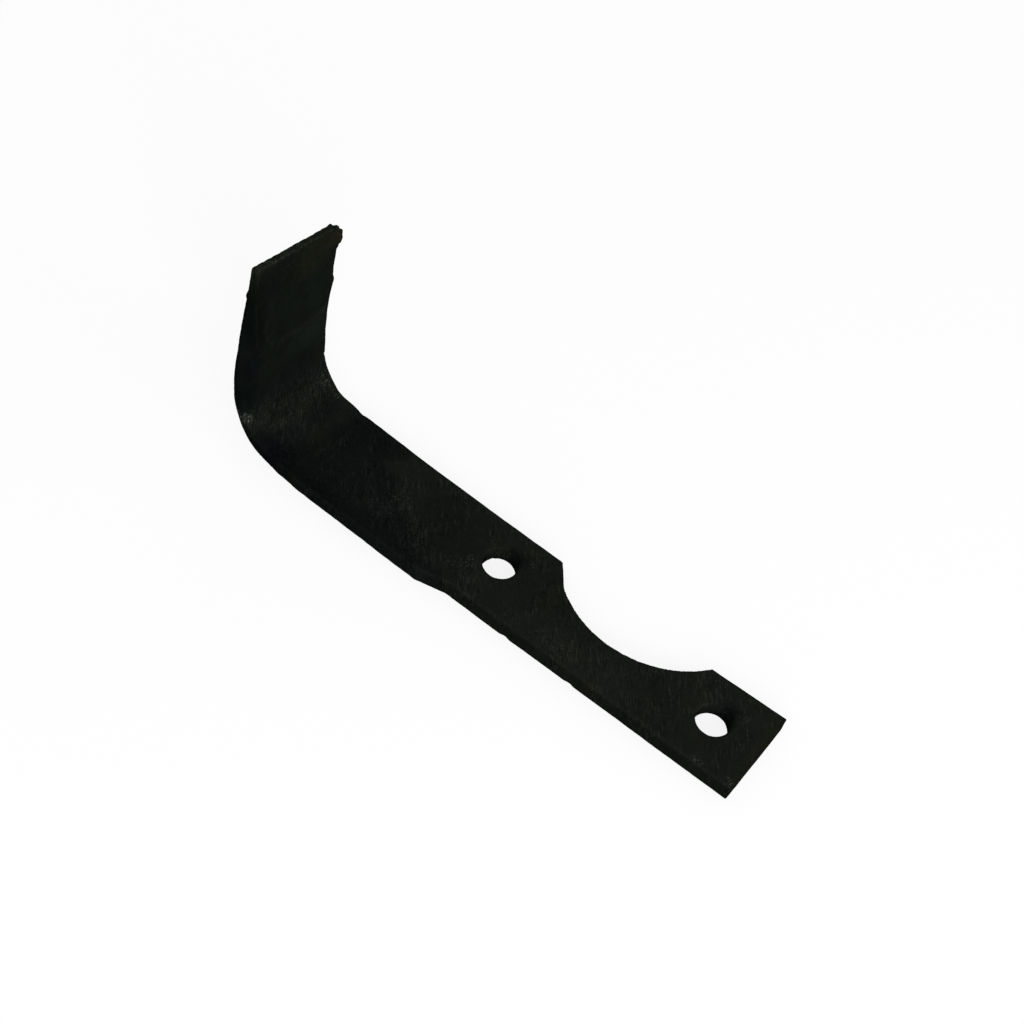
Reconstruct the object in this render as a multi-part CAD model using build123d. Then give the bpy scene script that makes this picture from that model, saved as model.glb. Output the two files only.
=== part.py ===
from build123d import *
import os
from math import cos, radians, sin, sqrt, tan

# Rotary tiller blade: a flat bar with two bolt holes and a round notch, forged thin
# past the notch and bent up into a cutting wing.
#
# Frame: the origin is midway between the bolt holes, on the underside of the bar.
# +X runs along the bar towards the wing, +Y towards the cutting side, and +Z is up.
# Lengths along the bar are measured on it unrolled. The bar is built from sections that
# lie along the skewed bend line, and each is named by its station: the place where it
# crosses the line of the holes.

# Flat bar
bar_width = 32.75
bar_taper = 0.006
bar_thickness = 8.0
bar_corner_radius = 1.0
hole_line_to_notch_side = 14.6

# Bolt holes and square end
hole_spacing = 88.9
hole_diameter = 12.7
hole_rim_chamfer = 0.3
end_margin = 18.4

# Round notch for the rotor tube, and the tab that flares past it
notch_radius = 40.4
notch_depth = 15.7
notch_shift = -1.1
notch_flank_angle = 51.0
notch_flank_end = 29.05
tab_flare_start = -15.0
tab_flare_slope = 0.04

# Forged shoulder, where the bar is drawn out thinner and wider
shoulder_start = 53.0
shoulder_end = 64.0
shoulder_spread = 2.75
shoulder_run_end = 112.0
shoulder_run_spread = 2.1
notch_side_thinning_start = 95.0
notch_side_spread = 0.2

# Bend
bend_start = 119.0
bend_skew = 11.7
bend_outer_radius = 24.5
bend_angle = 99.5
bend_section_step = 11.0

# Wing
wing_length = 91.0
tip_thickness = 1.8
bevel_width = 4.5
bevel_end_width = 1.2
bevel_depth_share = 0.55
bevel_run_out = 12.0
corner_share = 0.3

# Both edges past the bend's start, uneven as forging left them. Each row holds the share
# of the bend or the wing gone by, and then how far the cutting side and the notch side
# stand outside the plain bar.
bend_edges = [
    (0.0, 1.45, 1.5),
    (0.12, 1.1, 2.0),
    (0.25, 0.95, 2.3),
    (0.38, 0.9, 1.75),
    (0.53, -0.1, 2.75),
    (0.7, -1.4, 3.65),
    (0.85, -2.3, 4.4),
    (1.0, -2.75, 5.0),
]
wing_edges = [
    (0.1, -2.9, 5.1),
    (0.25, -3.55, 5.45),
    (0.37, -4.8, 6.05),
    (0.5, -5.75, 7.1),
    (0.57, -6.4, 8.1),
    (0.7, -7.85, 8.15),
    (0.83, -9.25, 9.2),
    (1.0, -10.85, 10.2),
]

# Battered corner of the tip, with the burr that is rolled out of it
battered_width = 2.4
battered_length = 2.8
burr_radius = 1.9
burr_reach = 1.8
burr_distance = 10.3
burr_spacing = 3.5
burr_fade = 0.8

# Places worked out from the sizes above
bar_cutting_side = bar_width - hole_line_to_notch_side
bar_notch_side = -hole_line_to_notch_side
square_end = -hole_spacing / 2 - end_margin
skew = radians(bend_skew)
bend_length = bend_outer_radius * radians(bend_angle)
bend_end = bend_start + bend_length / cos(skew)
tip = bend_end + wing_length
forged_edges = [
    (bend_start + (bend_end - bend_start) * share, cutting, notch)
    for share, cutting, notch in bend_edges
] + [(bend_end + wing_length * share, cutting, notch) for share, cutting, notch in wing_edges]
bar_overrun = 12.0
quarter_round_pull = 4 * (sqrt(2) - 1) / 3

bend_line = Vector(sin(skew), cos(skew), 0)
across_bend = Vector(cos(skew), -sin(skew), 0)
up = Vector(0, 0, 1)
tab_flare_station = tab_flare_start - bar_notch_side * tan(skew)
shoulder_start_station = shoulder_start - bar_cutting_side * tan(skew)
shoulder_end_station = shoulder_end - (bar_cutting_side + shoulder_spread) * tan(skew)


def along(station, knots):
    """Value at a station on straight lines between (station, value) knots."""
    if station <= knots[0][0]:
        return knots[0][1]
    for (start, start_value), (end, end_value) in zip(knots, knots[1:]):
        if station <= end:
            share = (station - start) / (end - start)
            return start_value + (end_value - start_value) * share
    return knots[-1][1]


def cutting_side(station):
    """Offset of the cutting edge from the line of the holes."""
    narrowing = bar_taper * (shoulder_start_station - square_end + bar_overrun)
    knots = [
        (square_end - bar_overrun, bar_cutting_side - narrowing),
        (shoulder_start_station, bar_cutting_side),
        (shoulder_end_station, bar_cutting_side + shoulder_spread),
        (shoulder_run_end, bar_cutting_side + shoulder_run_spread),
    ]
    knots += [(place, bar_cutting_side + cutting) for place, cutting, notch in forged_edges]
    return along(station, knots)


def notch_side(station):
    """Offset of the notch-side edge from the line of the holes."""
    flare = tab_flare_slope * (tab_flare_station - square_end + bar_overrun)
    knots = [
        (square_end - bar_overrun, bar_notch_side - flare),
        (tab_flare_station, bar_notch_side),
        (shoulder_end_station, bar_notch_side),
        (notch_side_thinning_start, bar_notch_side - notch_side_spread),
    ]
    knots += [(place, bar_notch_side - notch) for place, cutting, notch in forged_edges]
    return along(station, knots)


def cutting_thickness(station):
    """Thickness along the cutting edge."""
    return along(station, [(shoulder_end_station, bar_thickness), (tip, tip_thickness)])


def notch_thickness(station):
    """Thickness along the notch-side edge."""
    return along(station, [(notch_side_thinning_start, bar_thickness), (tip, tip_thickness)])


def bevel_at(station):
    """Width of the ground bevel on the inner face, along the cutting edge."""
    rounding = corner_radius(cutting_thickness(station))
    knots = [
        (bend_end - bevel_run_out, rounding),
        (bend_end + bevel_run_out, bevel_width),
        (tip, bevel_end_width),
    ]
    return along(station, knots)


def flatness_at(station):
    """How flat the bevel is: 0 for a rounded corner and 1 for a ground flat."""
    knots = [(bend_end - bevel_run_out, 0.0), (bend_end + bevel_run_out, 1.0)]
    return along(station, knots)


def corner_radius(thickness):
    """Radius of a long corner, limited by the thickness that it rounds."""
    return min(bar_corner_radius, corner_share * thickness)


def edge_on_section(side, station):
    """Place where a section meets an edge, measured along the bend line."""
    return (station - bend_start) * sin(skew) + side(station) / cos(skew)


def section_plane(station):
    """Plane of a section: X along the bend line and Y out of the inner face."""
    run = (station - bend_start) * cos(skew)
    turn = min(max(run / bend_outer_radius, 0.0), radians(bend_angle))
    forward = across_bend * cos(turn) + up * sin(turn)
    arc = across_bend * sin(turn) + up * (1 - cos(turn))
    straight = run - turn * bend_outer_radius
    origin = Vector(bend_start, 0, 0) + arc * bend_outer_radius + forward * straight
    return Plane(origin=origin, x_dir=bend_line, z_dir=forward)


def round_corner(start, corner, end, flatness=0.0):
    """Curve round a corner: a quarter round, or a flat bevel as flatness goes to 1."""
    third = (end - start) / 3
    pull = quarter_round_pull * (1 - flatness)
    first = start + (corner - start) * pull + third * flatness
    second = end + (corner - end) * pull - third * flatness
    return Bezier(start, first, second, end)


def section(station):
    """Cross-section of the bar, from the notch side to the cutting side."""
    right = edge_on_section(notch_side, station)
    left = edge_on_section(cutting_side, station)
    right_height = notch_thickness(station)
    left_height = cutting_thickness(station)
    right_round = corner_radius(right_height)
    left_round = corner_radius(left_height)
    flatness = flatness_at(station)
    bevel_drop = left_round + (bevel_depth_share * left_height - left_round) * flatness
    bottom_right = Vector(right + right_round, 0)
    bottom_left = Vector(left - left_round, 0)
    left_low = Vector(left, left_round)
    left_high = Vector(left, left_height - bevel_drop)
    top_left = Vector(left - bevel_at(station), left_height)
    top_right = Vector(right + right_round, right_height)
    right_high = Vector(right, right_height - right_round)
    right_low = Vector(right, right_round)
    outline = [
        Line(bottom_right, bottom_left),
        round_corner(bottom_left, Vector(left, 0), left_low),
        Line(left_low, left_high),
        round_corner(left_high, Vector(left, left_height), top_left, flatness),
        Line(top_left, top_right),
        round_corner(top_right, Vector(right, right_height), right_high),
        Line(right_high, right_low),
        round_corner(right_low, Vector(right, 0), bottom_right),
    ]
    return section_plane(station) * make_face(outline)


def straight_run(stations):
    """Bar between sections at the stations, straight from each one to the next."""
    return loft([section(station) for station in stations], ruled=True)


def bent_run(start, end):
    """Bar that follows the bend smoothly between two stations."""
    steps = round(bend_angle / bend_section_step)
    stations = [start + (end - start) * step / steps for step in range(steps + 1)]
    return loft([section(station) for station in stations])


def blank():
    """Whole bar before the holes, the notch and the square end are cut."""
    shank_stations = [
        square_end - bar_overrun,
        tab_flare_station,
        shoulder_start_station,
        shoulder_end_station,
        notch_side_thinning_start,
        shoulder_run_end,
        bend_start,
    ]
    wing_places = [bend_end, bend_end + bevel_run_out]
    wing_places += [place for place, cutting, notch in forged_edges if place > bend_end]
    wing_stations = sorted(wing_places)
    shank = straight_run(shank_stations)
    wing = straight_run(wing_stations)
    return shank + bent_run(bend_start, bend_end) + wing


def end_cutter():
    """Block that leaves the bar's end square."""
    size = 2 * bar_overrun + bar_width
    block = Box(size, 3 * bar_width, 3 * bar_thickness)
    return Pos(square_end - size / 2, 0, 0) * block


def notch_cutter():
    """Round cutter for the notch, with a straight flank on the wing side."""
    centre_y = bar_notch_side + notch_depth - notch_radius
    tube = Pos(notch_shift, centre_y, 0) * Cylinder(notch_radius, 3 * bar_thickness)
    beyond = Pos(notch_radius, 0, 0) * Box(2 * notch_radius, 4 * notch_radius, 4 * bar_thickness)
    flank_turn = Rot(0, 0, 90 - notch_flank_angle)
    return tube - Pos(notch_flank_end, bar_notch_side, 0) * flank_turn * beyond


def hole_cutters():
    """Both bolt holes, each with a chamfered rim on the upper face."""
    rim_radius = hole_diameter / 2 + hole_rim_chamfer
    drill = Cylinder(hole_diameter / 2, 3 * bar_thickness)
    rim_height = bar_thickness - hole_rim_chamfer / 2
    rim = Pos(0, 0, rim_height) * Cone(hole_diameter / 2, rim_radius, hole_rim_chamfer)
    return [Pos(side * hole_spacing / 2, 0, 0) * (drill + rim) for side in (-1, 1)]


def corner_cutter():
    """Wedge that takes the battered corner off the tip."""
    corner = edge_on_section(notch_side, tip)
    outline = Polyline(
        (corner - battered_width, -battered_length),
        (corner - battered_width, battered_length),
        (corner + battered_width, battered_length),
        (corner + battered_width, 0),
        (corner, -battered_length),
        close=True,
    )
    tip_plane = section_plane(tip)
    wing_plane = Plane(origin=tip_plane.origin, x_dir=bend_line, z_dir=-tip_plane.y_dir)
    return wing_plane * extrude(make_face(outline), bar_thickness, both=True)


def burr():
    """Lumps of metal rolled out past the notch-side edge, below the battered corner."""
    edge = edge_on_section(notch_side, tip)
    lumps = []
    for place, fade in ((-1, burr_fade), (0, 1.0), (1, burr_fade)):
        radius = burr_radius * fade
        reach = burr_reach * fade
        down = burr_distance + place * burr_spacing
        centre = Pos(edge - reach, tip_thickness / 2, -down)
        lumps.append(section_plane(tip).location * centre * Sphere(radius))
    return lumps


def tiller_blade():
    """The finished blade as one solid."""
    blade = blank() - end_cutter() - notch_cutter() - corner_cutter()
    for cutter in hole_cutters():
        blade = blade - cutter
    for lump in burr():
        blade = blade + lump
    return blade


os.makedirs("parts", exist_ok=True)
blade = tiller_blade()
blade.label = "tiller_blade"
export_step(blade, "parts/tiller_blade.step")
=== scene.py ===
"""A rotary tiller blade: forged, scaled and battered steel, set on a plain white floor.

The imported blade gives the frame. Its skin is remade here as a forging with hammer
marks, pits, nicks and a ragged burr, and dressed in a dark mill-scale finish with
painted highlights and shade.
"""

import logging
import math
from dataclasses import dataclass
from enum import Enum
from typing import ClassVar

import bmesh
import bpy
from mathutils import Matrix, Vector, noise


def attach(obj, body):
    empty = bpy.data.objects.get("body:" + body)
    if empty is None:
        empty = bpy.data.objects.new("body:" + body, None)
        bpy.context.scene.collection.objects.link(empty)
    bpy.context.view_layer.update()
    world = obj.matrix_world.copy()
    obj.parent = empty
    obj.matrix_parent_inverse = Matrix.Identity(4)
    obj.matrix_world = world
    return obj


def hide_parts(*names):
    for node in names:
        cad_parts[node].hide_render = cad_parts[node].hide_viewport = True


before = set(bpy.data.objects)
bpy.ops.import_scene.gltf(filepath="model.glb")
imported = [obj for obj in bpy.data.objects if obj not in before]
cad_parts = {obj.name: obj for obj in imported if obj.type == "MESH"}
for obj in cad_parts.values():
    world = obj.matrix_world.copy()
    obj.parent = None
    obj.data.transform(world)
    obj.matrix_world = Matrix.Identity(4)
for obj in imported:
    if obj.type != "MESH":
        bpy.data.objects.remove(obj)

LOG = logging.getLogger("tiller_blade")
MM = 0.001
NODE = "tiller_blade"
WING_STRETCH = 0.42

Colour = tuple[float, float, float]
Tones = tuple[float, float]
Socket = bpy.types.NodeSocket
Filling = Socket | Colour | Vector | float
BLACK: Colour = (0.0, 0.0, 0.0)
WHITE: Colour = (1.0, 1.0, 1.0)


class Zone(Enum):
    """Vertex attributes that carry where each kind of surface lies."""

    DRAWN = "drawn_out"
    EDGE = "worn_edge"
    RUST = "rust"
    SCUFF_AND_GLINT = "scuff_and_glint"
    SHADE = "shade"
    BLUE = "blue_scale_and_shade"
    LINE = "lap_line"
    WING = "wing"
    OLIVE = "olive"
    TEAL = "teal"


def blend(first: float, second: float, share: float) -> float:
    """Go from a first value to a second one as a share goes from 0 to 1."""
    return first + (second - first) * share


def segment_distance(point: Vector, start: Vector, end: Vector) -> float:
    """Distance from a point to a straight segment.

    Args:
        point: The point.
        start: One end of the segment.
        end: The other end.

    Returns:
        The shortest distance.
    """
    run = end - start
    share = min(max((point - start).dot(run) / run.length_squared, 0.0), 1.0)
    return (point - start - run * share).length


@dataclass(frozen=True)
class Band:
    """A range of values, such as one that a share eases over. It may run downwards."""

    start: float
    end: float

    def rise(self, value: float) -> float:
        """Share that eases from 0 at the band's start to 1 at its end."""
        share = min(max((value - self.start) / (self.end - self.start), 0.0), 1.0)
        return share * share * (3 - 2 * share)

    def fall(self, value: float) -> float:
        """Share that eases from 1 at the band's start to 0 at its end."""
        return 1 - self.rise(value)


@dataclass(frozen=True)
class BladeFrame:
    """The bar's layout: where it bends, and how a place on it unrolls flat."""

    bend_start: float = 119.0 * MM
    bend_skew: float = math.radians(11.7)
    bend_radius: float = 24.5 * MM
    bend_angle: float = math.radians(99.5)

    @property
    def bend_line(self) -> Vector:
        """Direction of the line that the bar is bent about."""
        return Vector((math.sin(self.bend_skew), math.cos(self.bend_skew), 0))

    @property
    def across_bend(self) -> Vector:
        """Direction square to the bend line, towards the wing."""
        return Vector((math.cos(self.bend_skew), -math.sin(self.bend_skew), 0))

    @property
    def bend_length(self) -> float:
        """Length of the bend along the outer face."""
        return self.bend_radius * self.bend_angle

    def station(self, place: Vector) -> float:
        """Where the bend line through an unrolled place meets the line of the holes."""
        return place.x - place.y * math.tan(self.bend_skew)

    def unroll(self, point: Vector) -> Vector:
        """Place of a point on the bar laid out flat.

        Args:
            point: A point on or near the blade.

        Returns:
            Its distance along the bar, its offset from the line of the holes, and its
            height above the outer face.
        """
        rel = point - Vector((self.bend_start, 0, 0))
        run = rel.dot(self.across_bend)
        side = rel.dot(self.bend_line)
        height = rel.z
        if run > 0:
            turn = math.atan2(run, self.bend_radius - height)
            if turn < self.bend_angle:
                height = self.bend_radius - math.hypot(run, self.bend_radius - height)
                run = self.bend_radius * turn
            else:
                sine, cosine = math.sin(self.bend_angle), math.cos(self.bend_angle)
                ahead = run - self.bend_radius * sine
                above = height - self.bend_radius * (1 - cosine)
                height = above * cosine - ahead * sine
                run = self.bend_length + ahead * cosine + above * sine
        skew = self.bend_skew
        along = self.bend_start + run * math.cos(skew) + side * math.sin(skew)
        offset = side * math.cos(skew) - run * math.sin(skew)
        return Vector((along, offset, height))


@dataclass(frozen=True)
class Mark:
    """A round dent in the bar laid out flat, or a lump if its depth is negative.

    Lengths are in millimetres, and places are along the bar, off the line of the
    holes and above the outer face.
    """

    along: float
    offset: float
    height: float
    radius: float
    depth: float

    def push(self, place: Vector) -> float:
        """How far the mark moves a place inwards.

        Args:
            place: Unrolled place, in metres.

        Returns:
            The inward distance in metres.
        """
        centre = Vector((self.along, self.offset, self.height)) * MM
        share = (place - centre).length / (self.radius * MM)
        return self.depth * MM * (1 - share * share) ** 2 if share < 1 else 0.0


@dataclass(frozen=True)
class Patch:
    """A soft oval patch of a tone on the bar laid out flat, with its sizes in millimetres."""

    along: float
    offset: float
    length: float
    width: float
    strength: float
    fade: ClassVar[Band] = Band(0.25, 1.0)

    def weight(self, place: Vector) -> float:
        """How much of the patch shows at a place.

        Args:
            place: Unrolled place, in metres.

        Returns:
            The patch's strength times a number from 0 to 1.
        """
        far = math.hypot(
            (place.x / MM - self.along) / self.length, (place.y / MM - self.offset) / self.width
        )
        return self.strength * self.fade.fall(far)


@dataclass(frozen=True)
class Trace:
    """A thin line on the inner face, through places given in millimetres."""

    places: tuple[tuple[float, float], ...]
    width: float
    strength: float

    def weight(self, place: Vector) -> float:
        """How strongly the line shows at a place.

        Args:
            place: Unrolled place, in metres.

        Returns:
            The line's strength times a number from 0 to 1.
        """
        points = [Vector((along, offset, 0)) * MM for along, offset in self.places]
        flat = Vector((place.x, place.y, 0))
        near = min(segment_distance(flat, a, b) for a, b in zip(points, points[1:]))
        return self.strength * Band(0.0, self.width * MM).fall(near)


@dataclass(frozen=True)
class Relief:
    """Roughness that forging and use have left on the steel."""

    wave_size: float = 22.0 * MM
    wave_height: float = 0.16 * MM
    scale_thickness: float = 0.12 * MM
    hammer_size: float = 6.0 * MM
    hammer_height: float = 0.07 * MM
    hammer_on_bar: float = 0.6
    hammer_seed: Vector = Vector((7, 3, 5))
    grain_size: float = 2.0 * MM
    grain_height: float = 0.035 * MM
    grain_on_bar: float = 0.7
    grain_added_when_drawn: float = 0.6
    grain_seed: Vector = Vector((1, 9, 2))
    pit_spacing: float = 4.2 * MM
    pit_depth: float = 0.20 * MM
    pit_wall: Band = Band(0.06, 0.26)
    least_pit: float = 0.1
    pit_shuffle: float = 3.7
    pit_seed: Vector = Vector((11, 5, 8))
    wing_stretch: float = WING_STRETCH
    edge_fill: float = 0.08 * MM
    edge_bite: float = 0.224 * MM
    edge_bite_size: float = 3.0 * MM
    edge_seed: Vector = Vector((4, 4, 4))
    burr_centre: Vector = Vector((243.0, -22.0, 1.5)) * MM
    burr_reach: Band = Band(3.6 * MM, 9.0 * MM)
    burr_tear: float = 0.7 * MM
    burr_tear_size: float = 1.7 * MM
    burr_seed: Vector = Vector((2, 6, 1))
    marks: tuple[Mark, ...] = (
        Mark(27.8, 17.8, 0.5, 2.2, 0.35),
        Mark(1.0, 17.8, 0.5, 2.4, 0.35),
        Mark(212.5, -22.4, 2.6, 2.8, -0.3),
        Mark(246.2, -24.3, 1.6, 1.5, 0.9),
        Mark(239.4, -25.2, 2.0, 1.8, -0.35),
        Mark(237.6, 9.4, 0.8, 3.0, -0.45),
        Mark(6.0, 11.4, 8.0, 1.6, 0.25),
        Mark(15.0, 12.6, 8.0, 1.4, 0.25),
        Mark(30.6, 15.6, 8.0, 1.5, 0.25),
        Mark(-49.0, 15.8, 8.0, 1.8, 0.3),
    )

    def inward(self, point: Vector, place: Vector, edge: float, drawn: float) -> float:
        """Inward shift of the skin at a point.

        Args:
            point: Point on the skin.
            place: The same point, unrolled.
            edge: How sharp the corner is there, from 0 to 1.
            drawn: 1 where the bar is drawn out, and 0 on the plain bar.

        Returns:
            The distance in metres.
        """
        pressed = Vector((point.x, point.y, point.z * self.wing_stretch))
        shift = noise.noise(pressed / self.wave_size) * self.wave_height - self.scale_thickness
        hammer = noise.noise(pressed / self.hammer_size + self.hammer_seed) * self.hammer_height
        shift += hammer * (self.hammer_on_bar + drawn)
        grain = noise.noise(pressed / self.grain_size + self.grain_seed) * self.grain_height
        shift += grain * (self.grain_on_bar + self.grain_added_when_drawn * drawn)
        shift += self._pit(pressed)
        bite = noise.noise(place / self.edge_bite_size + self.edge_seed)
        shift += edge * (self.edge_bite * max(bite, 0.0) - self.edge_fill)
        tear = self.burr_reach.fall((place - self.burr_centre).length)
        ragged = noise.noise(pressed / self.burr_tear_size + self.burr_seed)
        shift += tear * ragged * self.burr_tear
        return shift + sum(mark.push(place) for mark in self.marks)

    def _pit(self, pressed: Vector) -> float:
        """Depth of the rust pit at a point.

        Args:
            pressed: Point on the skin, with its height pressed.

        Returns:
            The depth in metres, which is 0 between the pits.
        """
        distances, centres = noise.voronoi(pressed / self.pit_spacing)
        strength = noise.cell(centres[0] * self.pit_shuffle + self.pit_seed)
        if strength <= self.least_pit:
            return 0.0
        return self.pit_depth * strength * self.pit_wall.fall(distances[0])


@dataclass(frozen=True)
class Pattern:
    """Size and character of a noise pattern in a finish."""

    scale: float
    detail: float
    roughness: float


@dataclass(frozen=True)
class NodeSheet:
    """Adds nodes to a node tree and wires them up."""

    tree: bpy.types.NodeTree

    def fill(self, socket: Socket, value: Filling) -> None:
        """Give an input a plain value, or wire another node's output to it.

        Args:
            socket: The input.
            value: The value or the output.
        """
        if isinstance(value, bpy.types.NodeSocket):
            self.tree.links.new(value, socket)
        else:
            socket.default_value = (*value, 1) if socket.type == "RGBA" else value

    def add(
        self, kind: str, inputs: dict[str | int, Filling], **settings: str | bool
    ) -> bpy.types.Node:
        """Add a node.

        Args:
            kind: Blender's name for this type of node.
            inputs: What goes into each of its inputs.
            settings: The node's own settings.

        Returns:
            The new node.
        """
        node = self.tree.nodes.new(kind)
        for name, value in settings.items():
            setattr(node, name, value)
        for name, value in inputs.items():
            self.fill(node.inputs[name], value)
        return node

    def math(self, operation: str, first: Socket, second: Socket | float) -> Socket:
        """Combine two values."""
        return self.add("ShaderNodeMath", {0: first, 1: second}, operation=operation).outputs[0]

    def times(self, first: Socket, second: Socket | float) -> Socket:
        """Multiply two values."""
        return self.math("MULTIPLY", first, second)

    def zone(self, zone: Zone) -> Socket:
        """Read one of the skin's zones."""
        return self.add("ShaderNodeAttribute", {}, attribute_name=zone.value).outputs["Fac"]

    def noise(self, place: Socket, pattern: Pattern) -> Socket:
        """Add a noise pattern.

        Args:
            place: Where the pattern is read.
            pattern: Its size and character.

        Returns:
            Its value.
        """
        inputs = {
            "Vector": place,
            "Scale": pattern.scale,
            "Detail": pattern.detail,
            "Roughness": pattern.roughness,
        }
        return self.add("ShaderNodeTexNoise", inputs).outputs["Fac"]

    def ramp(self, value: Socket, band: Band) -> Socket:
        """Ease from 0 to 1 as a value crosses a band.

        Args:
            value: The value.
            band: The band.

        Returns:
            A number from 0 to 1.
        """
        inputs = {"Value": value, "From Min": band.start, "From Max": band.end}
        node = self.add("ShaderNodeMapRange", inputs, interpolation_type="SMOOTHSTEP")
        return node.outputs["Result"]

    def mix(self, share: Socket, first: Socket | Colour, second: Colour) -> Socket:
        """Mix two colours.

        Args:
            share: How much of the second one shows, from 0 to 1.
            first: The colour underneath.
            second: The colour over it.

        Returns:
            The mixed colour.
        """
        node = self.add("ShaderNodeMix", {"Factor": share}, data_type="RGBA")
        for name, colour in (("A", first), ("B", second)):
            self.fill(next(i for i in node.inputs if i.name == name and i.type == "RGBA"), colour)
        return next(o for o in node.outputs if o.type == "RGBA")

    def shade(self, colour: Socket, value: Socket, tones: Tones) -> Socket:
        """Scale a colour.

        Args:
            colour: The colour.
            value: A value that goes from 0 to 1.
            tones: The factors on the colour where the value is 0 and where it is 1.

        Returns:
            The scaled colour.
        """
        inputs = {"Value": value, "To Min": tones[0], "To Max": tones[1]}
        tone = self.add("ShaderNodeMapRange", inputs, clamp=False).outputs["Result"]
        inputs = {0: colour, "Scale": tone}
        return self.add("ShaderNodeVectorMath", inputs, operation="SCALE").outputs["Vector"]


@dataclass(frozen=True)
class MillScale:
    """Dark oxide skin of a forging: near black, mottled, with rust where it has worn, and painted
    light and shade.
    """

    name: str = "mill_scale"
    bar_colour: Colour = (0.0092, 0.0110, 0.0089)
    drawn_colour: Colour = (0.0064, 0.0076, 0.0071)
    wing_colour: Colour = (0.0061, 0.0078, 0.0064)
    blue_colour: Colour = (0.0043, 0.0051, 0.0064)
    olive_colour: Colour = (0.0104, 0.0120, 0.0066)
    teal_colour: Colour = (0.0040, 0.0068, 0.0060)
    worn_colour: Colour = (0.0190, 0.0215, 0.0160)
    # Colour of the bright grains, which are partly painted glints.
    glint_colour: Colour = (0.0480, 0.0520, 0.0440)
    rust_colour: Colour = (0.0132, 0.0124, 0.0075)
    metallic: float = 0.2
    specular: float = 0.0
    blotch: Pattern = Pattern(70.0, 3.0, 0.5)
    mottle: Pattern = Pattern(300.0, 4.0, 0.6)
    grain: Pattern = Pattern(950.0, 2.0, 0.6)
    cluster: Pattern = Pattern(130.0, 1.0, 0.5)
    speck: Pattern = Pattern(1600.0, 1.0, 0.5)
    streak: Pattern = Pattern(1.0, 2.0, 0.5)
    zone_tones: Tones = (0.0, 1.0)
    blotch_tones: Tones = (0.85, 1.15)
    mottle_tones: Tones = (0.70, 1.30)
    grain_tones: Tones = (0.75, 1.25)
    dash_tones: Tones = (1.0, 1.75)
    olive_blotches: Band = Band(0.52, 0.70)
    blue_blotches: Band = Band(0.46, 0.30)
    blotch_share: float = 0.35
    olive_streaks: Band = Band(0.34, 0.58)
    off_wing: Band = Band(1.0, 0.0)
    dash_crowding: Band = Band(0.40, 0.60)
    scuff_crowding: float = 0.35
    light_dashes: Band = Band(0.56, 0.62)
    dark_dashes: Band = Band(0.44, 0.34)
    dark_dash_share: float = 0.45
    bright_specks: Band = Band(0.58, 0.66)
    rust_mottle: Band = Band(0.2, 0.5)
    edge_grain: Band = Band(0.42, 0.62)
    line_grain: Band = Band(0.30, 0.55)
    wing_stretch: float = WING_STRETCH
    streak_heading: Vector = Vector((-0.60, 0.80, 0))
    streaks_across: float = 2000.0
    streaks_along: float = 320.0
    rough_mottle: Band = Band(0.3, 0.7)
    roughness: Band = Band(0.34, 0.62)
    bump_distance: float = 0.16 * MM
    bump_strength: float = 0.8
    grain_bump: float = 0.4
    dash_bump: float = 0.5

    def build(self) -> bpy.types.Material:
        """Make the material.

        Returns:
            A procedural material that reads the skin's own attributes.
        """
        material = bpy.data.materials.new(self.name)
        material.use_nodes = True
        sheet = NodeSheet(material.node_tree)
        place = self._stretched_place(sheet)
        blotch = sheet.noise(place, self.blotch)
        mottle = sheet.noise(place, self.mottle)
        grain = sheet.noise(place, self.grain)
        streak = sheet.noise(self._streak_place(sheet), self.streak)
        dashes = self._dashes(sheet, place, streak)

        colour = self._scale_colour(sheet, blotch, streak)
        for value, tones in (
            (blotch, self.blotch_tones),
            (mottle, self.mottle_tones),
            (grain, self.grain_tones),
            (dashes, self.dash_tones),
        ):
            colour = sheet.shade(colour, value, tones)
        colour = self._worn_colour(sheet, colour, place, mottle, grain)
        # The shade zone holds painted light and shade as well as the steel's own tone.
        colour = sheet.shade(colour, sheet.zone(Zone.SHADE), self.zone_tones)

        shader = material.node_tree.nodes["Principled BSDF"]
        for name, value in (
            ("Metallic", self.metallic),
            ("Specular IOR Level", self.specular),
            ("Specular Tint", BLACK),
            ("Base Color", colour),
            ("Roughness", self._roughness(sheet, mottle)),
            ("Normal", self._bump(sheet, mottle, grain, dashes)),
        ):
            sheet.fill(shader.inputs[name], value)
        return material

    def _scale_colour(self, sheet: NodeSheet, blotch: Socket, streak: Socket) -> Socket:
        """Colour the oxide skin of the bar and the wing, with olive, blue and teal on it, partly
        as painted highlight and shade.

        Args:
            sheet: The material's nodes.
            blotch: The broad blotches.
            streak: The slanting streaks.

        Returns:
            The colour before its finer tones.
        """
        drawn = sheet.zone(Zone.DRAWN)
        wing = sheet.zone(Zone.WING)
        colour = sheet.mix(drawn, self.bar_colour, self.drawn_colour)
        colour = sheet.mix(wing, colour, self.wing_colour)
        green = sheet.times(sheet.ramp(blotch, self.olive_blotches), self.blotch_share)
        olive = sheet.times(sheet.zone(Zone.OLIVE), sheet.ramp(streak, self.olive_streaks))
        colour = sheet.mix(sheet.math("MAXIMUM", green, olive), colour, self.olive_colour)
        cool = sheet.times(sheet.ramp(blotch, self.blue_blotches), self.blotch_share)
        cool = sheet.times(sheet.times(cool, sheet.ramp(wing, self.off_wing)), drawn)
        blue = sheet.math("ADD", sheet.zone(Zone.BLUE), cool)
        colour = sheet.mix(blue, colour, self.blue_colour)
        return sheet.mix(sheet.zone(Zone.TEAL), colour, self.teal_colour)

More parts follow.
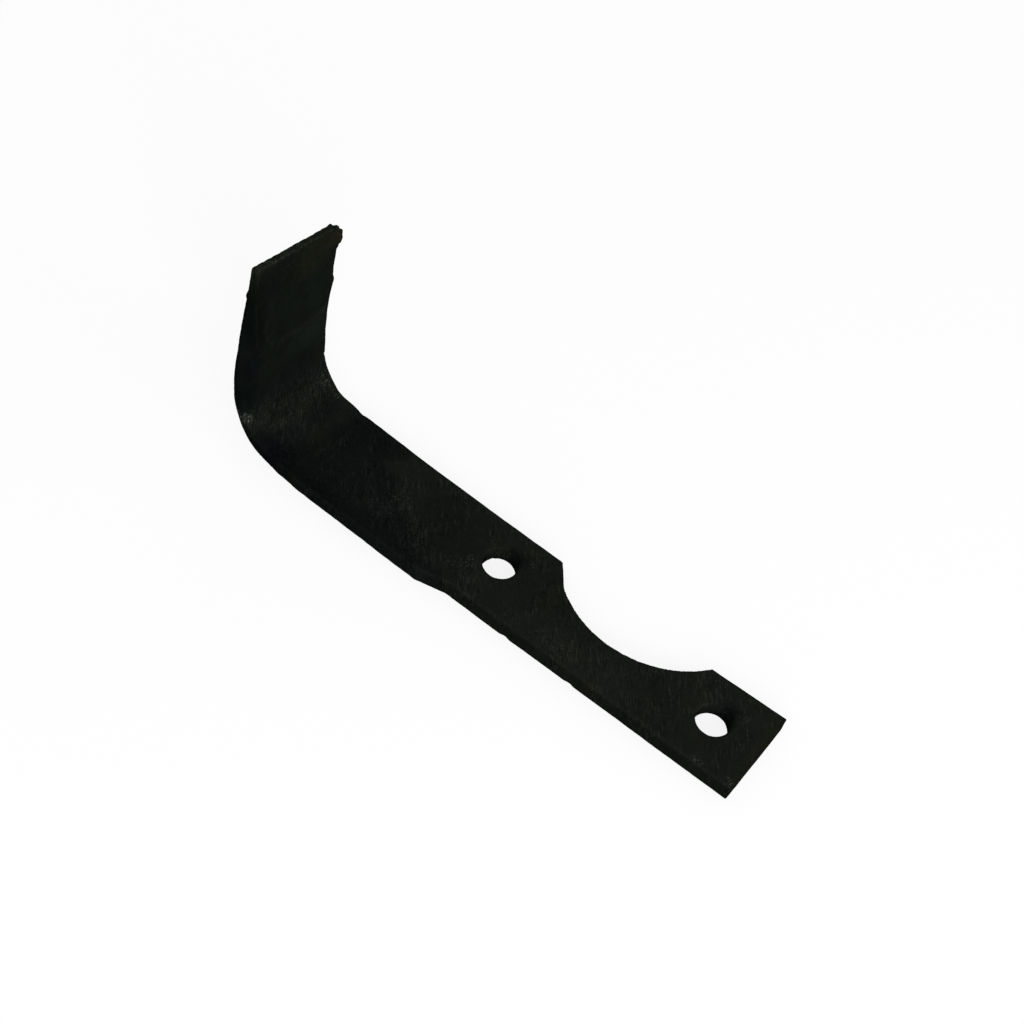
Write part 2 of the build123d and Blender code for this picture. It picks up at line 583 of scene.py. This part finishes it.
    def _worn_colour(
        self, sheet: NodeSheet, colour: Socket, place: Socket, mottle: Socket, grain: Socket
    ) -> Socket:
        """Lay rust, worn corners, lap lines, bright grains and painted glints over the scale.

        Args:
            sheet: The material's nodes.
            colour: Colour of the scale.
            place: Place on the blade.
            mottle: The pattern that breaks up the rust.
            grain: The pattern that breaks up the worn steel.

        Returns:
            The colour with its wear.
        """
        specks = sheet.noise(place, self.speck)
        for zone, pattern, band, over in (
            (Zone.RUST, mottle, self.rust_mottle, self.rust_colour),
            (Zone.EDGE, grain, self.edge_grain, self.worn_colour),
            (Zone.LINE, grain, self.line_grain, self.worn_colour),
            # Bright grains and painted glints.
            (Zone.SCUFF_AND_GLINT, specks, self.bright_specks, self.glint_colour),
        ):
            share = sheet.times(sheet.zone(zone), sheet.ramp(pattern, band))
            colour = sheet.mix(share, colour, over)
        return colour

    def _dashes(self, sheet: NodeSheet, place: Socket, streak: Socket) -> Socket:
        """Short slanting dashes, in crowds off the wing.

        Args:
            sheet: The material's nodes.
            place: Place on the blade.
            streak: The slanting streaks.

        Returns:
            Their strength, above 0 where they are light and below it where they are dark.
        """
        scuff_and_glint = sheet.times(sheet.zone(Zone.SCUFF_AND_GLINT), self.scuff_crowding)
        crowd = sheet.math("ADD", sheet.noise(place, self.cluster), scuff_and_glint)
        crowd = sheet.times(crowd, sheet.ramp(sheet.zone(Zone.WING), self.off_wing))
        light = sheet.ramp(streak, self.light_dashes)
        dark = sheet.times(sheet.ramp(streak, self.dark_dashes), self.dark_dash_share)
        both = sheet.math("SUBTRACT", light, dark)
        return sheet.times(both, sheet.ramp(crowd, self.dash_crowding))

    def _roughness(self, sheet: NodeSheet, mottle: Socket) -> Socket:
        """Roughness that follows the mottle.

        Args:
            sheet: The material's nodes.
            mottle: The mottle.

        Returns:
            The roughness.
        """
        inputs = {
            "Value": mottle,
            "From Min": self.rough_mottle.start,
            "From Max": self.rough_mottle.end,
            "To Min": self.roughness.start,
            "To Max": self.roughness.end,
        }
        return sheet.add("ShaderNodeMapRange", inputs).outputs["Result"]

    def _bump(self, sheet: NodeSheet, mottle: Socket, grain: Socket, dashes: Socket) -> Socket:
        """Fine relief that follows the finish's patterns.

        Args:
            sheet: The material's nodes.
            mottle: The mottle.
            grain: The grain.
            dashes: The dashes' strength.

        Returns:
            The bent normal.
        """
        heights = sheet.math("ADD", mottle, sheet.times(grain, self.grain_bump))
        heights = sheet.math("ADD", heights, sheet.times(dashes, self.dash_bump))
        inputs = {
            "Distance": self.bump_distance,
            "Strength": self.bump_strength,
            "Height": heights,
        }
        return sheet.add("ShaderNodeBump", inputs).outputs["Normal"]

    def _streak_place(self, sheet: NodeSheet) -> Socket:
        """Place on the blade, pressed so that marks turn into short slanting streaks.

        Args:
            sheet: The material's nodes.

        Returns:
            The pressed place.
        """
        place = sheet.add("ShaderNodeTexCoord", {}).outputs["Object"]
        pressed = sheet.add("ShaderNodeCombineXYZ", {})
        axes = (
            Vector((self.streak_heading.y, -self.streak_heading.x, 0)) * self.streaks_across,
            self.streak_heading * self.streaks_along,
            Vector((0, 0, 1)) * self.streaks_along,
        )
        for socket, axis in zip(pressed.inputs, axes):
            along = sheet.add("ShaderNodeVectorMath", {0: place, 1: axis}, operation="DOT_PRODUCT")
            sheet.fill(socket, along.outputs["Value"])
        return pressed.outputs["Vector"]

    def _stretched_place(self, sheet: NodeSheet) -> Socket:
        """Place on the blade, pressed upwards so that marks run along the wing.

        Args:
            sheet: The material's nodes.

        Returns:
            The pressed place.
        """
        place = sheet.add("ShaderNodeTexCoord", {}).outputs["Object"]
        inputs = {"Vector": place, "Scale": (1.0, 1.0, self.wing_stretch)}
        return sheet.add("ShaderNodeMapping", inputs).outputs["Vector"]


@dataclass
class BladeForging:
    """The blade's whole skin, remade as a hammered and battered forging, with painted light and
    shade.
    """

    name: str = "blade_forging"
    layout: BladeFrame = BladeFrame()
    relief: Relief = Relief()
    finish: MillScale = MillScale()
    grid: float = 0.54 * MM
    merge: float = 0.001 * MM
    ease_factor: float = 0.5
    rest_level: float = -0.12 * MM
    forge_line_start: Vector = Vector((93.5, -3.5)) * MM
    forge_line_end: Vector = Vector((61.0, 24.3)) * MM
    forge_line_fade: Band = Band(-2.5 * MM, 2.5 * MM)
    forge_line_wave: float = 9.0 * MM
    forge_line_wander: float = 3.0 * MM
    wing_fade: Band = Band(-12.0 * MM, 8.0 * MM)
    edge_spread: int = 1
    edge_gain: float = 3.2
    hole_places: tuple[float, float] = (-44.45 * MM, 44.45 * MM)
    hole_rim: float = 8.5 * MM
    # Painted light on the hole walls, which lie in shade, and painted shade on their rims.
    hole_wall_painted_light: float = 1.8
    hole_rim_painted_shade: float = 0.72
    hole_wall_lean: Band = Band(0.25, 0.60)
    hole_rim_lean: Band = Band(0.90, 0.99)
    # Painted shade on the sides of the plain bar and painted light on the sides of the drawn-out
    # bar.
    side_painted_shade: float = 0.89
    drawn_side_painted_light: float = 1.3
    side_lean: Band = Band(0.35, 0.85)
    side_change: Band = Band(50.0 * MM, 65.0 * MM)
    bar_wear: float = 0.45
    drawn_wear: float = 0.03
    tip_wear: float = 0.9
    wear_change: Band = Band(45.0 * MM, 70.0 * MM)
    tip_wear_change: Band = Band(235.0 * MM, 250.0 * MM)
    inner_face_height: float = 1.0 * MM
    crest_after_bend_start: float = 24.0 * MM
    # Painted highlight on the crest of the bend: an olive sheen and bright glints along it.
    painted_crest_highlight: float = 0.42
    painted_crest_highlight_reach: Band = Band(3.0 * MM, 11.0 * MM)
    painted_crest_glints: float = 0.08
    painted_crest_glint_reach: Band = Band(4.0 * MM, 13.0 * MM)
    scuff_everywhere: float = 0.06
    # Spots of bright grains; those on the bend's crest, by the inner hole and at the tab's outer
    # corner are painted glints and highlights.
    scuff_and_glint_patches: tuple[Patch, ...] = (
        Patch(152.0, 16.8, 4.0, 2.8, 1.0),
        Patch(143.5, 0.0, 5.0, 5.0, 0.12),
        Patch(140.6, -15.4, 7.0, 4.5, 0.40),
        Patch(84.0, 6.0, 12.0, 12.0, 0.28),
        Patch(72.0, 12.0, 9.0, 9.0, 0.24),
        Patch(54.0, 10.5, 10.0, 5.0, 0.3),
        Patch(52.4, 6.0, 2.0, 4.0, 0.8),
        Patch(35.7, -6.1, 1.5, 1.5, 0.9),
        Patch(132.0, -15.2, 2.4, 1.6, 0.9),
        Patch(-61.0, 15.6, 2.2, 2.2, 1.0),
        Patch(-48.5, 16.0, 4.5, 1.8, 0.8),
        Patch(-52.0, -6.0, 3.0, 2.5, 0.4),
        Patch(-39.0, -12.4, 5.0, 1.8, 0.5),
        Patch(12.0, 13.0, 14.0, 4.0, 0.3),
        Patch(243.0, -8.0, 12.0, 10.0, 0.10),
    )
    burr_rust_reach: Band = Band(2.5 * MM, 8.0 * MM)
    rust_patches: tuple[Patch, ...] = (
        Patch(-62.5, 0.0, 3.6, 22.0, 0.45),
        Patch(-44.5, 9.8, 5.0, 1.6, 0.45),
        Patch(-50.0, -15.0, 14.0, 4.0, 0.20),
        Patch(-5.0, 17.5, 3.0, 2.2, 0.45),
        Patch(240.0, -15.0, 17.0, 10.0, 0.25),
        Patch(127.0, 19.5, 3.5, 3.0, 0.12),
        Patch(118.0, 20.0, 3.5, 3.0, 0.12),
    )
    # Lighter and darker patches: the bright one at the left end of the bend's crest is a painted
    # highlight, the dark ones across the bend and beside the holes are painted shade, and the rest
    # give the steel its uneven tone.
    shade_patches: tuple[Patch, ...] = (
        Patch(172.0, 13.0, 34.0, 7.0, -0.22),
        Patch(134.0, 17.0, 16.0, 8.0, -0.32),
        Patch(105.0, 20.0, 40.0, 7.0, -0.20),
        Patch(182.0, -14.0, 14.0, 14.0, 0.40),
        Patch(210.0, -14.0, 20.0, 12.0, 0.10),
        Patch(240.0, 0.0, 16.0, 24.0, -0.16),
        Patch(151.8, 16.6, 4.5, 3.4, 1.2),
        Patch(145.0, 2.0, 9.0, 16.0, -0.30),
        Patch(141.0, -14.5, 6.5, 5.0, -0.10),
        Patch(143.5, -9.5, 7.0, 6.0, -0.10),
        Patch(100.0, -11.0, 9.0, 7.0, -0.16),
        Patch(123.0, -15.0, 12.0, 5.0, 0.12),
        Patch(133.0, -8.0, 10.0, 10.0, -0.22),
        Patch(-62.0, 0.0, 22.0, 18.0, 0.08),
        Patch(-64.0, 0.0, 2.6, 80.0, -0.55),
        Patch(98.0, 4.0, 30.0, 20.0, 0.08),
        Patch(67.0, 4.0, 26.0, 24.0, -0.15),
        Patch(20.0, -4.0, 24.0, 14.0, -0.14),
        Patch(-26.0, 10.0, 14.0, 14.0, -0.12),
        Patch(-52.0, 3.0, 12.0, 12.0, -0.12),
        Patch(0.0, 12.0, 50.0, 10.0, 0.10),
        Patch(42.2, -5.9, 5.0, 3.4, -0.12),
        Patch(-46.7, -5.9, 5.0, 3.4, -0.12),
        Patch(39.2, -4.5, 5.0, 4.0, -0.12),
        Patch(-49.7, -4.5, 5.0, 4.0, -0.12),
        Patch(222.0, 8.5, 40.0, 7.0, -0.38),
        Patch(233.0, 5.0, 9.0, 3.5, 0.14),
        Patch(28.0, 5.0, 9.0, 7.0, -0.08),
    )
    # Blue tints, darker than the bar: those beside the holes and low in the bend are painted
    # shade, the others blue scale.
    blue_patches: tuple[Patch, ...] = (
        Patch(186.0, 10.0, 15.0, 6.0, 0.60),
        Patch(132.0, 17.0, 16.0, 7.0, 0.8),
        Patch(76.0, 14.0, 12.0, 8.0, 0.30),
        Patch(60.0, 19.0, 10.0, 4.0, 0.45),
        Patch(100.0, -11.0, 9.0, 6.0, 0.40),
        Patch(41.4, -5.5, 6.5, 4.0, 0.6),
        Patch(-47.5, -5.5, 6.5, 4.0, 0.6),
    )
    # Teal tints, darker than the bar: the one in the bend is painted shade, the one on the wing
    # the scale's own tint.
    teal_patches: tuple[Patch, ...] = (
        Patch(226.0, 11.0, 34.0, 5.0, 0.50),
        Patch(164.0, 13.5, 16.0, 5.0, 0.75),
    )
    tip_station: float = 253.45 * MM
    tip_strip: Band = Band(0.66 * MM, 2.2 * MM)
    tip_patch_size: float = 3.0 * MM
    tip_patch_seed: Vector = Vector((3, 1, 4))
    tip_patch_band: Band = Band(-0.3, 0.3)
    tip_between_patches: float = 0.2
    tip_tone: float = 1.6
    tip_rust: float = 0.30
    tip_scuff: float = 0.35
    olive_patches: tuple[Patch, ...] = (Patch(239.0, -13.0, 17.0, 12.0, 0.65),)
    lap_lines: tuple[Trace, ...] = (
        Trace(((254.0, 5.8), (236.0, 7.4), (214.0, 8.0), (199.0, 8.0)), 0.6, 0.30),
        Trace(((215.0, 4.2), (205.0, 4.4), (199.0, 3.8), (191.0, 1.2)), 0.6, 0.40),
        Trace(((193.0, -3.0), (192.5, -10.0), (193.3, -15.5), (195.5, -20.5)), 4.2, 0.22),
    )

    def build(self, node: bpy.types.Object) -> bpy.types.Object:
        """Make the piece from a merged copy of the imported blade.

        Args:
            node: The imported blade.

        Returns:
            The finished piece.
        """
        template = self._merged_copy(node)
        piece = self._regrid(template)
        bpy.data.objects.remove(template)
        self._roughen(piece)
        piece.data.materials.clear()
        piece.data.materials.append(self.finish.build())
        piece.data.shade_smooth()
        return piece

    def _merged_copy(self, node: bpy.types.Object) -> bpy.types.Object:
        """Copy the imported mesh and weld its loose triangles.

        Args:
            node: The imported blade.

        Returns:
            A closed copy.
        """
        mesh = bpy.data.meshes.new(self.name + "_template")
        shell = bmesh.new()
        shell.from_mesh(node.data)
        bmesh.ops.remove_doubles(shell, verts=shell.verts, dist=self.merge)
        bmesh.ops.recalc_face_normals(shell, faces=shell.faces)
        shell.to_mesh(mesh)
        shell.free()
        template = bpy.data.objects.new(mesh.name, mesh)
        bpy.context.scene.collection.objects.link(template)
        return template

    def _regrid(self, template: bpy.types.Object) -> bpy.types.Object:
        """Give the skin an even grid of small faces.

        Args:
            template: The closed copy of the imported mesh.

        Returns:
            A new object whose skin lies on the template.
        """
        source = bpy.data.objects.new(self.name + "_source", template.data)
        bpy.context.scene.collection.objects.link(source)
        remesh = source.modifiers.new("grid", "REMESH")
        remesh.mode = "VOXEL"
        remesh.voxel_size = self.grid
        wrap = source.modifiers.new("wrap", "SHRINKWRAP")
        wrap.target = template
        ease = source.modifiers.new("ease", "SMOOTH")
        ease.factor = self.ease_factor
        graph = bpy.context.evaluated_depsgraph_get()
        mesh = bpy.data.meshes.new_from_object(source.evaluated_get(graph))
        bpy.data.objects.remove(source)
        mesh.name = self.name
        piece = bpy.data.objects.new(self.name, mesh)
        bpy.context.scene.collection.objects.link(piece)
        return piece

    def _edges(self, skin: bmesh.types.BMesh) -> list[float]:
        """How sharply the skin turns at each vertex.

        Args:
            skin: The regular skin.

        Returns:
            One number from 0 to 1 for each vertex.
        """
        turn = []
        for vert in skin.verts:
            links = [edge.other_vert(vert) for edge in vert.link_edges]
            lean = sum((vert.co - other.co).normalized().dot(vert.normal) for other in links)
            turn.append(max(lean / len(links), 0.0) * self.edge_gain)
        for _ in range(self.edge_spread):
            turn = [
                (turn[vert.index] + sum(turn[e.other_vert(vert).index] for e in vert.link_edges))
                / (1 + len(vert.link_edges))
                for vert in skin.verts
            ]
        return [min(value, 1.0) for value in turn]

    def _wear(self, point: Vector, place: Vector, edge: float) -> float:
        """How worn a corner of the skin is.

        Args:
            point: Point on the skin.
            place: The same point, unrolled.
            edge: How sharp the corner is there, from 0 to 1.

        Returns:
            A number from 0 to 1.
        """
        if self._in_hole(point):
            return 0.0
        wear = blend(self.bar_wear, self.drawn_wear, self.wear_change.rise(place.x))
        return edge * blend(wear, self.tip_wear, self.tip_wear_change.rise(place.x))

    def _in_hole(self, point: Vector) -> bool:
        """Whether a point is on the wall or the rim of a bolt hole."""
        near = min(math.hypot(point.x - place, point.y) for place in self.hole_places)
        return near < self.hole_rim

    def _drawn(self, place: Vector) -> float:
        """Where the bar is drawn out past the forging line.

        Args:
            place: Unrolled place.

        Returns:
            0 on the plain bar and 1 on the drawn-out bar.
        """
        line = (self.forge_line_end - self.forge_line_start).normalized()
        rel = place.xy - self.forge_line_start
        past = rel.x * line.y - rel.y * line.x
        wander = noise.noise(place / self.forge_line_wave) * self.forge_line_wander
        return self.forge_line_fade.rise(past + wander)

    def _wing(self, place: Vector) -> float:
        """0 on the shank and the bend, and 1 on the wing."""
        bent = self.layout.bend_start + self.layout.bend_length
        return self.wing_fade.rise(place.x - bent)

    def _rust(self, place: Vector) -> float:
        """How much rust shows at a place.

        Args:
            place: Unrolled place.

        Returns:
            A number from 0 to 1.
        """
        burr = self.burr_rust_reach.fall((place - self.relief.burr_centre).length)
        spots = self._tint(self.rust_patches, place) + self.tip_rust * self._at_tip(place)
        return min(max(burr, spots), 1.0)

    def _scuff_and_glint(self, place: Vector) -> float:
        """How thickly bright grains and painted glints lie at a place.

        Args:
            place: Unrolled place.

        Returns:
            A number from 0 to 1.
        """
        # The crest term paints glints along the bend's crest.
        crest = self.painted_crest_glint_reach.fall(abs(self._from_crest(place)))
        spots = sum(patch.weight(place) for patch in self.scuff_and_glint_patches)
        spots += self.scuff_everywhere * (1 - self._wing(place))
        spots += self.painted_crest_glints * crest + self.tip_scuff * self._at_tip(place)
        return min(spots, 1.0)

    def _painted_side_and_hole_tone(self, point: Vector, place: Vector, lean: float) -> float:
        """Painted light and shade on the bar's sides and on the hole walls, as a factor with 1 as
        plain.

        Args:
            point: Point on the skin.
            place: The same point, unrolled.
            lean: Upward part of the skin's normal, which is near 0 on the sides.

        Returns:
            A factor on the colour.
        """
        if place.x > self.layout.bend_start:
            return 1.0
        if self._in_hole(point):
            # Painted shade on the hole's rim and painted light on its wall.
            rim = blend(1.0, self.hole_rim_painted_shade, self.hole_rim_lean.fall(lean))
            return blend(rim, self.hole_wall_painted_light, self.hole_wall_lean.fall(abs(lean)))
        # The sides get painted shade on the plain bar and painted light where it is drawn out.
        tone = blend(self.side_painted_shade, self.drawn_side_painted_light, self.side_change.rise(place.x))
        return blend(1.0, tone, self.side_lean.fall(abs(lean)))

    def _shade(self, place: Vector) -> float:
        """Tone at a place, with 1 as plain: the lighter ragged strip at the tip, and patches of
        the steel's own tone, painted highlight and painted shade.

        Args:
            place: Unrolled place.

        Returns:
            A factor on the colour.
        """
        tone = blend(1.0, self.tip_tone, self._at_tip(place))
        for patch in self.shade_patches:
            tone *= 1 + patch.weight(place)
        return tone

    def _olive(self, place: Vector) -> float:
        """How olive the skin is at a place, from 0 to 1: a painted highlight along the bend's
        crest, and the scale's own olive tint by the tip.
        """
        # The crest term is a painted highlight; the olive patches are the scale's own tint.
        crest = self.painted_crest_highlight_reach.fall(abs(self._from_crest(place)))
        return max(self.painted_crest_highlight * crest, self._tint(self.olive_patches, place))

    def _from_crest(self, place: Vector) -> float:
        """Distance of a place from the crest of the bend, along the bar."""
        crest = self.layout.bend_start + self.crest_after_bend_start
        return self.layout.station(place) - crest

    def _at_tip(self, place: Vector) -> float:
        """How much of the ragged strip along the tip shows at a place.

        Args:
            place: Unrolled place.

        Returns:
            A number from 0 away from the tip to 1 on it.
        """
        strip = self.tip_strip.fall(self.tip_station - self.layout.station(place))
        ragged = noise.noise(place / self.tip_patch_size + self.tip_patch_seed)
        return strip * blend(self.tip_between_patches, 1.0, self.tip_patch_band.rise(ragged))

    @staticmethod
    def _tint(patches: tuple[Patch, ...], place: Vector) -> float:
        """How much of some patches shows at a place, from 0 to 1."""
        return min(sum(patch.weight(place) for patch in patches), 1.0)

    def _line(self, place: Vector) -> float:
        """How strongly a lap line shows on the inner face.

        Args:
            place: Unrolled place.

        Returns:
            A number from 0 to 1, which is 0 everywhere on the outer face.
        """
        if place.z < self.inner_face_height:
            return 0.0
        return min(sum(trace.weight(place) for trace in self.lap_lines), 1.0)

    def _roughen(self, piece: bpy.types.Object) -> None:
        """Move the skin by its relief and write the zones that the finish reads.

        Args:
            piece: The regular skin, changed in place.
        """
        mesh = piece.data
        skin = bmesh.new()
        skin.from_mesh(mesh)
        bmesh.ops.recalc_face_normals(skin, faces=skin.faces)
        skin.normal_update()
        edges = self._edges(skin)
        places = [self.layout.unroll(vert.co) for vert in skin.verts]
        drawn = [self._drawn(place) for place in places]
        shifts = [
            self.relief.inward(vert.co, place, edge, share)
            for vert, place, edge, share in zip(skin.verts, places, edges, drawn)
        ]
        zones = {
            Zone.DRAWN: drawn,
            Zone.EDGE: [
                self._wear(vert.co, place, edge)
                for vert, place, edge in zip(skin.verts, places, edges)
            ],
            Zone.RUST: [self._rust(place) for place in places],
            Zone.SCUFF_AND_GLINT: [self._scuff_and_glint(place) for place in places],
            # Painted light and shade, with the steel's own tone and the worn tip.
            Zone.SHADE: [
                self._painted_side_and_hole_tone(vert.co, place, vert.normal.z) * self._shade(place)
                for vert, place in zip(skin.verts, places)
            ],
            Zone.OLIVE: [self._olive(place) for place in places],
            Zone.BLUE: [self._tint(self.blue_patches, place) for place in places],
            Zone.TEAL: [self._tint(self.teal_patches, place) for place in places],
            Zone.LINE: [self._line(place) for place in places],
            Zone.WING: [self._wing(place) for place in places],
        }
        normals = [vert.normal.copy() for vert in skin.verts]
        for vert, normal, shift in zip(skin.verts, normals, shifts):
            vert.co -= normal * shift
            vert.co.z = max(vert.co.z, self.rest_level)
        skin.to_mesh(mesh)
        skin.free()
        for zone, values in zones.items():
            layer = mesh.attributes.new(zone.value, "FLOAT", "POINT")
            layer.data.foreach_set("value", values)


@dataclass(frozen=True)
class Softbox:
    """A square soft lamp that faces the blade, with its sizes in metres and watts."""

    name: str
    place: Vector
    side: float
    power: float
    aim: Vector = Vector((0.05, 0, 0.02))

    def build(self) -> None:
        """Hang the lamp."""
        data = bpy.data.lights.new(self.name, "AREA")
        data.shape = "SQUARE"
        data.size = self.side
        data.energy = self.power
        lamp = bpy.data.objects.new(self.name, data)
        lamp.location = self.place
        lamp.rotation_euler = (self.aim - self.place).to_track_quat("-Z", "Y").to_euler()
        bpy.context.scene.collection.objects.link(lamp)


@dataclass
class Studio:
    """Plain white floor and backdrop, with soft lamps at a plain level."""

    floor_half: float = 3.0
    floor_level: float = -0.2 * MM
    floor_colour: Colour = (0.80, 0.80, 0.80)
    seen_glow: float = 0.86
    seen_colour: Colour = (0.17, 0.17, 0.17)
    sky_level: float = 0.50
    lamps: tuple[Softbox, ...] = (
        Softbox("key_softbox", Vector((-0.70, 0.90, 0.80)), 0.9, 9.0),
        Softbox("side_strip", Vector((-1.25, -0.15, 0.18)), 0.35, 7.0),
    )

    def build(self) -> None:
        """Make the floor, the sky and the lamps."""
        self._floor()
        self._sky()
        for lamp in self.lamps:
            lamp.build()

    def _floor(self) -> None:
        """Lay the floor just under the blade."""
        mesh = bpy.data.meshes.new("studio_floor")
        grid = bmesh.new()
        bmesh.ops.create_grid(grid, x_segments=1, y_segments=1, size=self.floor_half)
        bmesh.ops.translate(grid, verts=grid.verts, vec=(0, 0, self.floor_level))
        grid.to_mesh(mesh)
        grid.free()
        mesh.materials.append(self._paper())
        floor = bpy.data.objects.new("studio_floor", mesh)
        bpy.context.scene.collection.objects.link(floor)

    def _paper(self) -> bpy.types.Material:
        """Make the floor's paper, which glows white where it is seen.

        Returns:
            The material.
        """
        material = bpy.data.materials.new("floor_paper")
        material.use_nodes = True
        material.node_tree.nodes.clear()
        sheet = NodeSheet(material.node_tree)
        plain = sheet.add("ShaderNodeBsdfDiffuse", {"Color": self.floor_colour}).outputs[0]
        faint = sheet.add("ShaderNodeBsdfDiffuse", {"Color": self.seen_colour}).outputs[0]
        glow = sheet.add("ShaderNodeEmission", {"Strength": self.seen_glow}).outputs[0]
        seen = sheet.add("ShaderNodeAddShader", {0: faint, 1: glow}).outputs[0]
        inputs = {0: self._seen_rays(sheet), 1: plain, 2: seen}
        paper = sheet.add("ShaderNodeMixShader", inputs).outputs[0]
        sheet.add("ShaderNodeOutputMaterial", {"Surface": paper})
        return material

    def _sky(self) -> None:
        """Make the sky white where it is seen, and dimmer as a light."""
        world = bpy.data.worlds.new("studio_sky")
        world.use_nodes = True
        world.node_tree.nodes.clear()
        bpy.context.scene.world = world
        sheet = NodeSheet(world.node_tree)
        inputs = {"Value": self._seen_rays(sheet), "To Min": self.sky_level, "To Max": 1.0}
        level = sheet.add("ShaderNodeMapRange", inputs).outputs["Result"]
        back = sheet.add("ShaderNodeBackground", {"Color": WHITE, "Strength": level}).outputs[0]
        sheet.add("ShaderNodeOutputWorld", {"Surface": back})

    @staticmethod
    def _seen_rays(sheet: NodeSheet) -> Socket:
        """Tell the rays that see the studio from those that only light it.

        Args:
            sheet: The nodes to add to.

        Returns:
            1 for rays from the camera, a gloss or a glass, and 0 for the rest.
        """
        path = sheet.add("ShaderNodeLightPath", {})
        seen = path.outputs["Is Camera Ray"]
        for name in ("Is Glossy Ray", "Is Transmission Ray"):
            seen = sheet.math("MAXIMUM", seen, path.outputs[name])
        return seen


@dataclass
class View:
    """The camera: high over the cutting side, with the wing up and to the left.

    The lens and the sensor are in millimetres.
    """

    place: Vector = Vector((-0.11973, 0.38004, 0.66246))
    aim: Vector = Vector((0.053737, -0.018682, 0.008))
    lens: float = 80.859375
    sensor_width: float = 36.0
    bar_heading: float = math.radians(53.977)

    def build(self) -> None:
        """Make the camera and use it."""
        data = bpy.data.cameras.new("camera")
        data.lens = self.lens
        data.sensor_width = self.sensor_width
        camera = bpy.data.objects.new("camera", data)
        ahead = (self.aim - self.place).normalized()
        bar = Vector((1, 0, 0))
        bar = (bar - ahead * bar.dot(ahead)).normalized()
        up = Matrix.Rotation(self.bar_heading, 3, ahead) @ bar
        right = ahead.cross(up)
        turn = Matrix((right, up, -ahead)).transposed()
        camera.matrix_world = Matrix.Translation(self.place) @ turn.to_4x4()
        bpy.context.scene.collection.objects.link(camera)
        bpy.context.scene.camera = camera


def main() -> None:
    """Build the studio, the camera and the blade, and tie the blade to its frame."""
    logging.basicConfig(level=logging.INFO, format="%(name)s: %(message)s")
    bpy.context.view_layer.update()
    View().build()
    Studio().build()
    scene = bpy.context.scene
    scene.view_settings.view_transform = "Standard"
    piece = BladeForging().build(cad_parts[NODE])
    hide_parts(NODE)
    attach(piece, "root")
    LOG.info("%s: %d faces", piece.name, len(piece.data.polygons))


if __name__ == "__main__":
    main()
